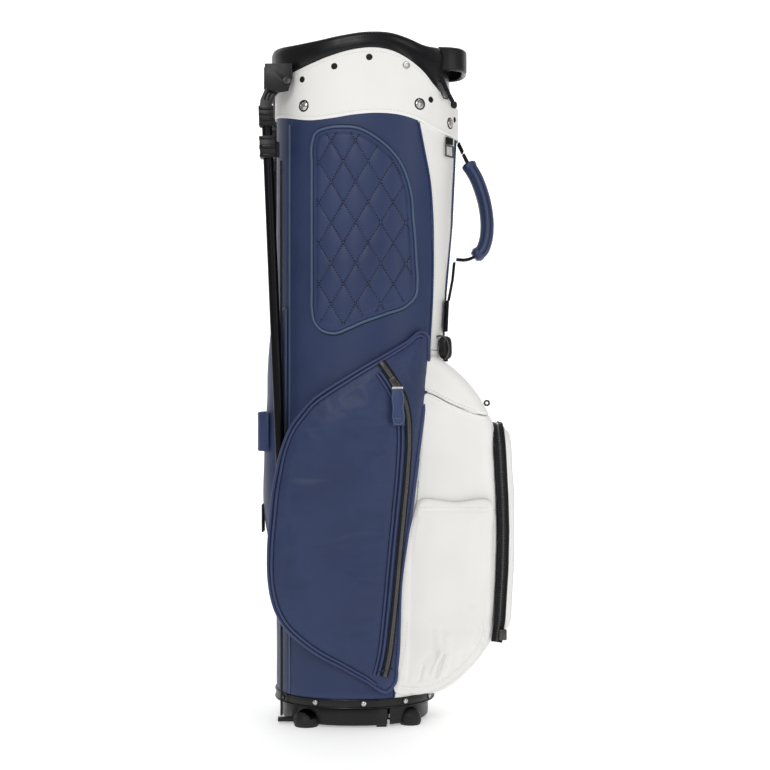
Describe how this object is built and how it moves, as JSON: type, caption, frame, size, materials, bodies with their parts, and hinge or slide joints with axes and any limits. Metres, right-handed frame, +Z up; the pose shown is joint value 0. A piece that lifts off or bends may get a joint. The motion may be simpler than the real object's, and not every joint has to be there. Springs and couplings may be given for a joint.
{
  "type": "golf stand bag",
  "caption": "Upright golf stand bag with a moulded divided top, swing-out legs worked by a tilting base foot, side and ball pockets, quilted pads and a carry handle.",
  "frame": {"origin": "on the floor, at the centre of the bag's plan bounding box", "axes": "+Z up, +X towards the ball pocket and carry handle, -X towards the folded legs, +Y across the bag"},
  "size_m": [0.3381, 0.246, 0.8878],
  "materials": {
    "navy_leather": "satin",
    "navy_pocket": "satin",
    "white_leather": "satin",
    "black_plastic": "satin",
    "rubber": "matte",
    "leg_aluminium": "satin",
    "steel": "satin",
    "gunmetal": "satin",
    "webbing": "matte",
    "lining": "matte"
  },
  "bodies": {
    "bag": {"side_panel_left": "navy_leather", "side_panel_right": "navy_leather", "back_panel": "navy_leather", "spine_strip": "navy_leather", "quilted_pad_left": "navy_leather", "quilted_pad_right": "navy_leather", "hip_pad": "navy_leather", "rear_loop": "navy_leather", "side_pocket_left": "navy_pocket", "side_pocket_right": "navy_pocket", "spine_panel": "white_leather", "cuff": "white_leather", "ball_pocket": "white_leather", "upper_pocket": "white_leather", "ball_pocket_front": "white_leather", "gusset_pouch_left": "white_leather", "gusset_pouch_right": "white_leather", "base_skirt": "black_plastic", "front_foot_block": "black_plastic", "top_rim": "black_plastic", "top_handle": "black_plastic", "leg_bracket": "black_plastic", "front_rubber_foot": "rubber", "rear_bumper": "rubber", "top_divider": "rubber", "foot_hinge_pin": "steel", "stay_left": "steel", "stay_right": "steel", "leg_pivot_screw_left": "steel", "leg_pivot_screw_right": "steel", "handle_tab_upper": "webbing", "handle_tab_lower": "webbing", "ring_tab_left": "webbing", "ring_tab_right": "webbing", "lower_strap": "webbing", "ball_zip_tape": "webbing", "full_length_divider": "lining"},
    "base_foot": {"foot_plate": "black_plastic", "rear_rubber_foot": "rubber"},
    "leg_left": {"leg_knuckle_left": "black_plastic", "leg_tube_left": "leg_aluminium", "leg_clamp_left": "black_plastic", "leg_foot_left": "rubber"},
    "leg_right": {"leg_knuckle_right": "black_plastic", "leg_tube_right": "leg_aluminium", "leg_clamp_right": "black_plastic", "leg_foot_right": "rubber"},
    "rod_left": {"actuator_rod_left": "steel"},
    "rod_right": {"actuator_rod_right": "steel"},
    "carry_handle": {"handle_grip": "navy_leather", "handle_webbing": "webbing"},
    "strap_ring_left": {"strap_ring_left": "gunmetal"},
    "strap_ring_right": {"strap_ring_right": "gunmetal"},
    "lower_ring": {"lower_ring": "gunmetal"},
    "side_slider_left": {"side_zip_slider_left": "gunmetal"},
    "side_slider_right": {"side_zip_slider_right": "gunmetal"},
    "side_pull_left": {"side_zip_pull_left": "navy_leather"},
    "side_pull_right": {"side_zip_pull_right": "navy_leather"},
    "ball_slider": {"ball_zip_slider": "black_plastic"},
    "top_pull": {"top_pull": "rubber"}
  },
  "joints": [
    {"name": "foot_tilt", "type": "hinge", "parent": "bag", "child": "base_foot", "pos_m": [0.006, 0, 0.012], "axis": [0, 1, 0], "range_deg": [0, 6.3], "stiffness_Nm_per_rad": 12, "springref_deg": -17.19},
    {"name": "leg_left_swing", "type": "hinge", "parent": "bag", "child": "leg_left", "pos_m": [-0.13, -0.072, 0.828], "axis": [-0.2588, 0.9659, 0], "range_deg": [0, 30]},
    {"name": "leg_right_swing", "type": "hinge", "parent": "bag", "child": "leg_right", "pos_m": [-0.13, 0.072, 0.828], "axis": [0.2588, 0.9659, 0], "range_deg": [0, 30]},
    {"name": "rod_left_tilt", "type": "hinge", "parent": "base_foot", "child": "rod_left", "pos_m": [-0.134, -0.062, 0.01], "axis": [0.0979, -0.9952, 0], "range_deg": [0, 10.1]},
    {"name": "rod_right_tilt", "type": "hinge", "parent": "base_foot", "child": "rod_right", "pos_m": [-0.134, 0.062, 0.01], "axis": [-0.0979, -0.9952, 0], "range_deg": [0, 10.1]},
    {"name": "carry_handle_swing", "type": "hinge", "parent": "bag", "child": "carry_handle", "pos_m": [0.0985, 0, 0.675], "axis": [0.071, 0, 0.9975], "range_deg": [-40, 40]},
    {"name": "strap_ring_left_swing", "type": "hinge", "parent": "bag", "child": "strap_ring_left", "pos_m": [0.084, -0.05, 0.7494], "axis": [0.4787, 0.878, 0], "range_deg": [-75, 0]},
    {"name": "strap_ring_right_swing", "type": "hinge", "parent": "bag", "child": "strap_ring_right", "pos_m": [0.084, 0.05, 0.7494], "axis": [-0.4787, 0.878, 0], "range_deg": [-75, 0]},
    {"name": "lower_ring_swing", "type": "hinge", "parent": "bag", "child": "lower_ring", "pos_m": [0.079, -0.036, 0.506], "axis": [0.4384, 0.8988, 0], "range_deg": [-60, 0]},
    {"name": "side_zip_left_travel", "type": "hinge", "parent": "bag", "child": "side_slider_left", "pos_m": [-0.062, -0.11, 0.381], "axis": [0, 1, 0], "range_deg": [0, 40]},
    {"name": "side_zip_right_travel", "type": "hinge", "parent": "bag", "child": "side_slider_right", "pos_m": [-0.062, 0.11, 0.381], "axis": [0, 1, 0], "range_deg": [0, 40]},
    {"name": "side_pull_left_swing", "type": "hinge", "parent": "side_slider_left", "child": "side_pull_left", "pos_m": [0.0155, -0.121, 0.434], "axis": [1, 0, 0], "range_deg": [-80, 0]},
    {"name": "side_pull_right_swing", "type": "hinge", "parent": "side_slider_right", "child": "side_pull_right", "pos_m": [0.0155, 0.121, 0.434], "axis": [1, 0, 0], "range_deg": [0, 80]},
    {"name": "ball_zip_travel", "type": "slide", "parent": "bag", "child": "ball_slider", "axis": [0.025, 0, 0.9997], "range_m": [0, 0.2]},
    {"name": "top_pull_swing", "type": "hinge", "parent": "bag", "child": "top_pull", "pos_m": [0.131, 0, 0.4135], "axis": [0, 1, 0], "range_deg": [-60, 20]}
  ],
  "couplings": [
    {"joint": "leg_left_swing", "follows": "foot_tilt", "ratio": 4.7555},
    {"joint": "leg_right_swing", "follows": "foot_tilt", "ratio": 4.7555},
    {"joint": "rod_left_tilt", "follows": "foot_tilt", "ratio": 1.5963},
    {"joint": "rod_right_tilt", "follows": "foot_tilt", "ratio": 1.5963}
  ]
}
